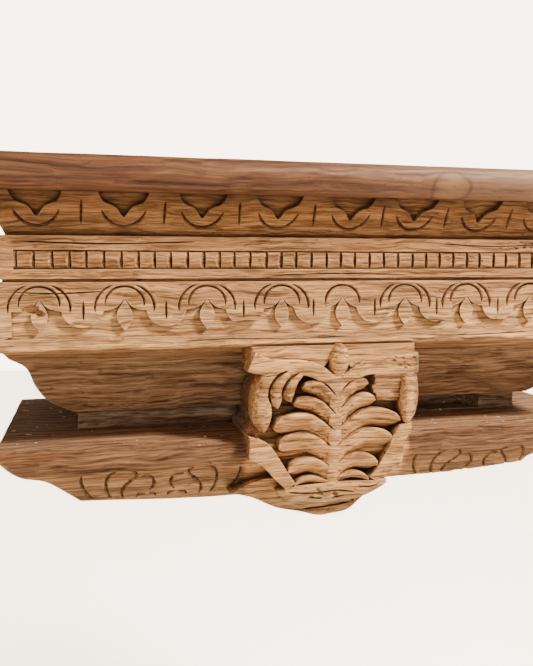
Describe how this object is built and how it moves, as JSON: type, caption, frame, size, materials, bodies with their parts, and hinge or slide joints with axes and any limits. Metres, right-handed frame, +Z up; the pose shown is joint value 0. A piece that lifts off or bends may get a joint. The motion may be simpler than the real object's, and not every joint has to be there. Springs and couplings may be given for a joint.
{
  "type": "wooden corbel bracket",
  "caption": "Carved hardwood corbel with a half-round top board, beaded and scalloped mouldings, a coved fascia and a leaf carved on a block at its middle.",
  "frame": {"origin": "middle of the flat back of the carved timber, on the wall", "axes": "+X along the wall to the right seen from the front, +Y into the wall, +Z up"},
  "size_m": [0.584, 0.26, 0.2933],
  "materials": {
    "carved_timber": "weathered, hand-carved, oiled",
    "board": "planed, worn, waxed"
  },
  "bodies": {
    "root": {"carved_corbel": "carved_timber", "top_board": "board"}
  },
  "joints": []
}
